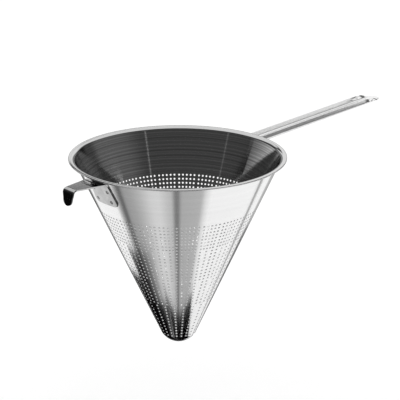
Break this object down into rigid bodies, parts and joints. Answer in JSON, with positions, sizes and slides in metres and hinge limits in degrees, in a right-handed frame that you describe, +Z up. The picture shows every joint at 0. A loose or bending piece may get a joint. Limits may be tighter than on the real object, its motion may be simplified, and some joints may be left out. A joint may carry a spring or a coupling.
{
  "type": "chinois strainer",
  "caption": "Conical perforated sheet-steel strainer with a folded flat rim, a straight channel handle with a hanging slot, and a rest hook opposite the handle.",
  "frame": {"origin": "on the cone's axis, in the middle of the rim's thickness", "axes": "+Z up along the cone's axis, out of its mouth; the handle runs out along +X and the rest hook along -X"},
  "size_m": [0.4868, 0.24, 0.233],
  "materials": {
    "spun_steel": "satin spun",
    "strap_steel": "satin rolled",
    "weld_steel": "dull pressed"
  },
  "bodies": {
    "root": {"strainer_cone": "spun_steel", "handle": "strap_steel", "rest_hook": "strap_steel", "handle_spot_welds": "weld_steel", "hook_spot_welds": "weld_steel"}
  },
  "joints": []
}
